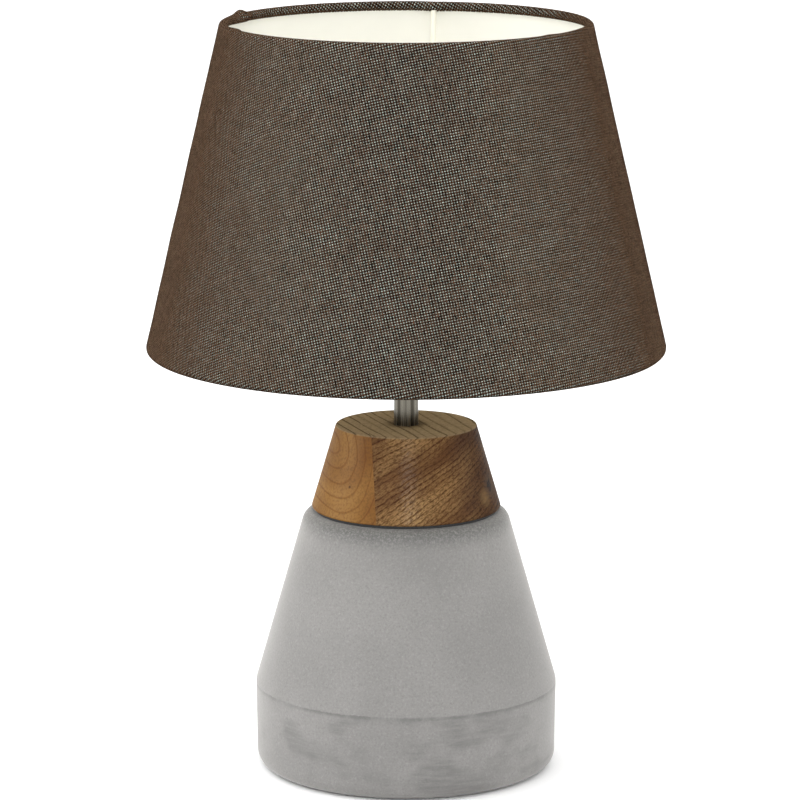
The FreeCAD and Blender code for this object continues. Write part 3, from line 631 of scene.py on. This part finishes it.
class Cloth:
    """The shade's cloth, laid out flat as a sector of a disc: x runs across the warp and y along it."""

    def __init__(self):
        top, bottom, down, _ = shade_axes()
        self.path = cloth_path()
        self.lengths = [along for along, _, _ in self.path]
        self.cone_sine = abs(down.x)
        self.side_length = (bottom - top).length
        self.apex = self.path[self.lengths.index(0.0)][1].x / self.cone_sine
        self.near = self.apex + self.lengths[0]
        self.far = self.apex + self.lengths[-1]
        start = (SEAM_AZIMUTH - FRONT_AZIMUTH) * self.cone_sine
        self.start = math.radians(start) - GRAIN_ANGLE
        self.end = math.radians(start + 360.0 * self.cone_sine) - GRAIN_ANGLE

    def flat(self, azimuth, along):
        """The flat place (x, y) of a point of the cloth."""
        spread = (azimuth - math.radians(FRONT_AZIMUTH)) * self.cone_sine - GRAIN_ANGLE
        return (self.apex + along) * math.sin(spread), (self.apex + along) * math.cos(spread)

    def wrapped(self, x, y):
        """The azimuth and the distance along the section of a flat place."""
        azimuth = math.radians(FRONT_AZIMUTH) + (math.atan2(x, y) + GRAIN_ANGLE) / self.cone_sine
        return azimuth, math.hypot(x, y) - self.apex

    def place(self, azimuth, along, rise):
        """The point of the shade at that azimuth and distance along the section, raised off the backing."""
        k = min(max(bisect.bisect_right(self.lengths, along) - 1, 0), len(self.path) - 2)
        t = (along - self.lengths[k]) / (self.lengths[k + 1] - self.lengths[k])
        point = self.path[k][1].lerp(self.path[k + 1][1], t)
        normal = self.path[k][2].lerp(self.path[k + 1][2], t).normalized()
        radius, height = point + normal * rise
        spot = Vector((radius * math.cos(azimuth), radius * math.sin(azimuth), height))
        past_seam = (math.degrees(azimuth) - SEAM_AZIMUTH) % 360.0
        out = self.ripple(along, spot) + self.seam_step(past_seam, along) - self.wire_bulge(azimuth, along)
        reach = spot.xy.length
        spot.xy *= (reach + out) / reach
        spot.z += self.seam_bump(past_seam, along)
        return spot

    def ripple(self, along, spot):
        """The cloth's slight unevenness, less of it beside the rings."""
        from_edge = min(along, self.side_length - along)
        return noise.noise(spot * RIPPLE_CHANGE) * RIPPLE * ramp(from_edge, -3.0 * MM, 9.0 * MM)

    def seam_step(self, past_seam, along):
        """How far the lapped end stands off the other: outward, and inward on the inside of the top hem."""
        lap = ramp(past_seam, SEAM_LAP, 0.4 * SEAM_LAP)
        return lap * SEAM_STEP * (1.0 - 2.0 * ramp(-along, 2.5 * MM, 5.0 * MM))

    def seam_bump(self, past_seam, along):
        """How far the top hem stands up where the cloth's two ends are folded over each other."""
        off = (past_seam - SEAM_BUMP_ANGLE) / SEAM_BUMP_ANGLE
        return SEAM_BUMP * math.exp(-off ** 2) * ramp(abs(along + 2.0 * MM), 5.0 * MM, 0.0)

    def wire_bulge(self, azimuth, along):
        """How far the inside of the top hem is pushed in by the drop wires under it."""
        bulge = 0.0
        for wire in DROP_WIRE_AZIMUTHS:
            off = ((math.degrees(azimuth) - wire + 180.0) % 360.0 - 180.0) / WIRE_COVER_HALF_ANGLE
            bulge += math.exp(-off ** 2)
        return bulge * ramp(-along, 0.5 * MM, 5.5 * MM) * WIRE_COVER


def cloth_backing(cloth):
    """The thin backing: one continuous closed sheet, turned over both rings and lapped at the seam."""
    half = BACKING_THICKNESS / 2
    outer = [(along, half) for along in cloth.lengths]
    section = outer + [(along, -half) for along in reversed(cloth.lengths)]
    count = len(section)
    steps = range(BACKING_STEPS)
    turns = [math.radians(SEAM_AZIMUTH + 360.0 * (step + 0.01) / BACKING_STEPS) for step in steps]
    vertices = [cloth.place(turn, along, rise) for turn in turns for along, rise in section]
    turns.append(turns[0] + math.tau)
    places = []
    for step in steps:
        for k in range(count):
            beyond = (k + 1) % count
            for corner, item in ((step, k), (step + 1, k), (step + 1, beyond), (step, beyond)):
                x, y = cloth.flat(turns[corner], section[item][0])
                places.append((x / WARP_PITCH, y / WEFT_PITCH))
    mesh = smooth_mesh("shade_cloth", vertices, section_faces(BACKING_STEPS, count), places)
    return make_object(mesh, backing_material())


def thread_spans(cloth, fixed, warp):
    """The stretches of one straight thread that lie on the sector: (from, to) along the thread."""
    far = cloth.far ** 2 - fixed ** 2
    if far <= 0.0:
        return []
    near = math.sqrt(max(cloth.near ** 2 - fixed ** 2, 0.0))
    far = math.sqrt(far)
    if warp:
        edge = cloth.end if fixed > 0.0 else cloth.start
        low = max(near, fixed / math.tan(edge))
        return [(low, far)] if far - low > HEM_STEP else []
    low, high = fixed * math.tan(cloth.start), fixed * math.tan(cloth.end)
    stretches = [(-far, -near), (near, far)] if near > 0.0 else [(-far, far)]
    clipped = [(max(a, low), min(b, high)) for a, b in stretches]
    return [(a, b) for a, b in clipped if b - a > HEM_STEP]


def thread_stops(cloth, fixed, span, warp):
    """The distances along a thread at which it has a section, close together on the hems."""
    t, end = span
    stops = [t]
    long_step = WARP_STEP if warp else WEFT_STEP
    while t < end:
        along = math.hypot(fixed, t) - cloth.apex
        to_hem = max(0.0, min(along, cloth.side_length - along))
        t = min(t + max(HEM_STEP, min(long_step, to_hem)), end)
        stops.append(t)
    return stops


def yarn_ring(cloth, index, t, warp):
    """The corners of a thread's section, t along it: thick and thin, and a little off the thread's line."""
    pitch = WARP_PITCH if warp else WEFT_PITCH
    lift = THREAD_RISE if warp else WEFT_RISE
    offset = 0.0 if warp else 1.0
    thick_at = Vector((index * WIDTH_CHANGE[0], t * WIDTH_CHANGE[1], offset))
    drift_at = Vector((index * DRIFT_CHANGE[0], t * DRIFT_CHANGE[1], 5.0 + offset))
    width = THREAD_WIDTH * (1.0 + WIDTH_VARIATION * noise.noise(thick_at))
    drift = pitch * DRIFT * noise.noise(drift_at)
    ring = []
    for across, height in YARN_SECTION:
        off_axis = index * pitch + (drift + across * width)
        x, y = (off_axis, t) if warp else (t, off_axis)
        ring.append(cloth.place(*cloth.wrapped(x, y), BACKING_THICKNESS / 2 + lift * height))
    return ring


def cloth_threads(cloth, name, warp, look):
    """All threads of one direction, each a yarn with three faces round it and closed ends."""
    pitch, other_pitch = (WARP_PITCH, WEFT_PITCH) if warp else (WEFT_PITCH, WARP_PITCH)
    offset = 0.0 if warp else 1.0
    last = math.ceil(cloth.far / pitch)
    vertices, faces, places = [], [], []
    for index in range(-last if warp else 1, last + 1):
        for span in thread_spans(cloth, index * pitch, warp):
            stops = thread_stops(cloth, index * pitch, span, warp)
            along = [t / other_pitch + offset for t in stops]
            base = len(vertices)
            for t in stops:
                vertices.extend(yarn_ring(cloth, index, t, warp))
            for part, (v, v_next) in enumerate(zip(along, along[1:])):
                before = base + 3 * part
                after = before + 3
                for k in range(3):
                    n = (k + 1) % 3
                    faces.append((before + k, before + n, after + n, after + k))
                    u, u_next = (index + YARN_SECTION[corner][0] * THREAD_SHARE for corner in (k, n))
                    places.extend(((u, v), (u_next, v), (u_next, v_next), (u, v_next)))
            end = len(vertices) - 3
            faces.append((base + 2, base + 1, base))
            faces.append((end, end + 1, end + 2))
            places.extend([(index, along[-2])] * 6)
    return make_object(smooth_mesh(name, vertices, faces, places), look)


def cap_radius(share, step_share, low, high):
    """The thread's radius on the bulb's cap, at a share of its height and a share of a turn."""
    turns = (high.z - low.z) * share / CAP_PITCH - step_share
    fade = max(0.0, min(1.0, share / CAP_FADE_LOW, (1.0 - share) / CAP_FADE_HIGH))
    half_depth = CAP_THREAD_DEPTH / 2
    wave = high.x - half_depth + half_depth * math.cos(math.tau * turns) * fade
    return wave - max(0.0, CAP_TAPER_SHARE - share) * CAP_TAPER


def bulb_thread():
    """The bulb's screw cap with its rounded thread, in place of the plain cylinder."""
    low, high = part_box("bulb_cap")
    around = 96
    rows = 80
    shares = [row / rows for row in range(rows + 1)]
    section = [(share, 0.0) for share in shares] + [(share, CAP_WALL) for share in reversed(shares)]
    vertices = []
    for step in range(around):
        angle = math.tau * step / around
        for share, inset in section:
            radius = cap_radius(share, step / around, low, high) - inset
            height = low.z + (high.z - low.z) * share
            vertices.append((radius * math.cos(angle), radius * math.sin(angle), height))
    mesh = smooth_mesh("bulb_screw_cap", vertices, section_faces(around, len(section)))
    return make_object(mesh, brushed_metal("bulb_cap_metal", (0.78, 0.77, 0.74), 0.2, (60.0, 60.0, 400.0)))


# ---- stage ----
def studio_walls():
    """Soft light from all round, brightest from the left and dim low in front, with one window in front."""
    world = bpy.data.worlds.new("studio")
    bpy.context.scene.world = world
    g = Graph(world, "Background")
    x, y, z = g.split(g.node("ShaderNodeTexCoord").outputs["Generated"])
    front = g.fit(y, 0.1, -0.75)
    low = g.fit(z, 0.75, 0.3)
    side = g.fit(x, -0.8, 0.8, 1.7, 1.2)
    walls = g.mul(side, g.sub(1.0, g.mul(g.mul(front, low), 0.45)))
    azimuth = g.math("ARCTAN2", x, g.mul(y, -1.0))
    off_window = g.math("ABSOLUTE", g.sub(azimuth, WINDOW_AZIMUTH))
    window = g.mul(g.fit(off_window, *WINDOW_REACH), g.fit(z, 0.12, 0.2))
    window = g.mul(window, g.fit(z, 0.62, 0.5))
    g.set("Color", (1.0, 1.0, 1.0))
    g.set("Strength", g.add(walls, g.mul(window, WINDOW_STRENGTH)))


def add_floor():
    """A plain white floor."""
    bpy.ops.mesh.primitive_plane_add(size=FLOOR_SIZE, location=(0, 0, 0))
    floor = bpy.context.object
    floor.name = "floor"
    g = material("floor", Roughness=0.9, Specular_IOR_Level=0.0)
    g.set("Base Color", g.mix(g.noise(g.place(), 3.0), (0.90, 0.90, 0.90), (0.93, 0.93, 0.93)))
    floor.data.materials.append(g.owner)


def add_lamp(name, place, size, power):
    """A soft rectangular light, turned towards the object."""
    light = bpy.data.lights.new(name, "AREA")
    light.shape = "RECTANGLE"
    light.size, light.size_y = size
    light.energy = power
    lamp = bpy.data.objects.new(name, light)
    lamp.location = place
    lamp.rotation_euler = (LAMP_TARGET - Vector(place)).to_track_quat("-Z", "Y").to_euler()
    bpy.context.scene.collection.objects.link(lamp)


def add_camera():
    data = bpy.data.cameras.new("camera")
    data.lens = CAMERA_LENS
    data.sensor_width = CAMERA_SENSOR
    data.clip_end = 100.0
    camera = bpy.data.objects.new("camera", data)
    camera.location = CAMERA_PLACE
    camera.rotation_euler = (CAMERA_TILT, 0.0, 0.0)
    bpy.context.scene.collection.objects.link(camera)
    bpy.context.scene.camera = camera
    bpy.context.scene.view_settings.view_transform = "Standard"


def studio():
    """A white floor, soft light from above and both sides, and the camera."""
    add_floor()
    studio_walls()
    add_lamp("left", (-2.3, -0.1, 1.2), (1.6, 2.2), 22.0)
    add_lamp("right", (2.3, 0.1, 1.2), (1.6, 2.2), 9.0)
    add_lamp("above", (0.0, 0.1, 2.6), (2.4, 2.4), 16.0)
    add_camera()


def paint(look, *nodes):
    """Gives CAD nodes a material."""
    for name in nodes:
        data = NODES[name].data
        data.materials.clear()
        data.materials.append(look)


def paint_frame():
    """Materials of the CAD nodes that stay as they are."""
    paint(concrete_material(), "base_casting")
    paint(wood_wide_material(), "collar_board_wide")
    paint(wood_narrow_material(), "collar_board_narrow")
    paint(tube_material(), "tube_sleeve")
    steel = brushed_metal("zinc_steel", (0.32, 0.32, 0.31), 0.32, (300.0, 300.0, 300.0))
    paint(steel, "rod_washer", "rod_lock_washer", "rod_nut", "threaded_rod", "holder_nut")
    paint(steel, "holder_grub_screw", "terminal_screws", "bulb_contact_tip")
    brass = brushed_metal("brass", (0.75, 0.57, 0.28), 0.28, (200.0, 200.0, 700.0))
    paint(brass, "screw_shell", "centre_contact", "terminal_blocks")
    paint(brushed_metal("led_aluminium", (0.8, 0.8, 0.8), 0.3, (600.0, 600.0, 40.0)), "led_post")
    paint(moulded("pad_foam", (0.035, 0.035, 0.035), 0.95, 900.0), "base_pad")
    paint(moulded("black_rubber", (0.02, 0.02, 0.02), 0.7, 1500.0), "collar_gasket", "cord_grommet")
    holder_plastic = moulded("holder_plastic", (0.03, 0.03, 0.032), 0.42, 1200.0)
    paint(holder_plastic, "holder_cap", "holder_body", "shade_ring")
    paint(moulded("porcelain", (0.80, 0.79, 0.75), 0.15, 600.0, 0.05), "holder_insert")
    paint(moulded("lining", (0.85, 0.84, 0.765), 0.6, 900.0, 0.03), "shade_lining")
    frame_paint = moulded("frame_paint", (0.80, 0.77, 0.66), 0.35, 700.0, 0.06)
    paint(frame_paint, "top_ring", "bottom_ring", "fitter_ring", "drop_wire_1", "drop_wire_2", "drop_wire_3")
    paint(moulded("bulb_glass_black", (0.02, 0.02, 0.02), 0.1, 500.0), "bulb_insulator")
    paint(moulded("bulb_white", (0.50, 0.50, 0.49), 0.3, 700.0, 0.04), "bulb_housing")
    paint(moulded("bulb_opal", (0.58, 0.575, 0.55), 0.25, 700.0, 0.03), "bulb_diffuser")
    paint(moulded("phosphor", (0.85, 0.62, 0.12), 0.4, 900.0), "led_chips")
    paint(moulded("circuit_board", (0.02, 0.16, 0.06), 0.4, 900.0), "driver_board")
    paint(moulded("capacitor", (0.05, 0.06, 0.10), 0.3, 900.0), "driver_capacitor")


def main():
    paint_frame()
    cloth = Cloth()
    yarn = thread_material()
    backing = cloth_backing(cloth)
    warp = cloth_threads(cloth, "shade_warp", True, yarn)
    weft = cloth_threads(cloth, "shade_weft", False, yarn)
    threads = [warp, weft]
    for piece in (backing, *threads):
        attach(piece, "shade")
    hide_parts("shade_fabric")
    cap = bulb_thread()
    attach(cap, "bulb")
    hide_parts("bulb_cap")
    studio()


main()
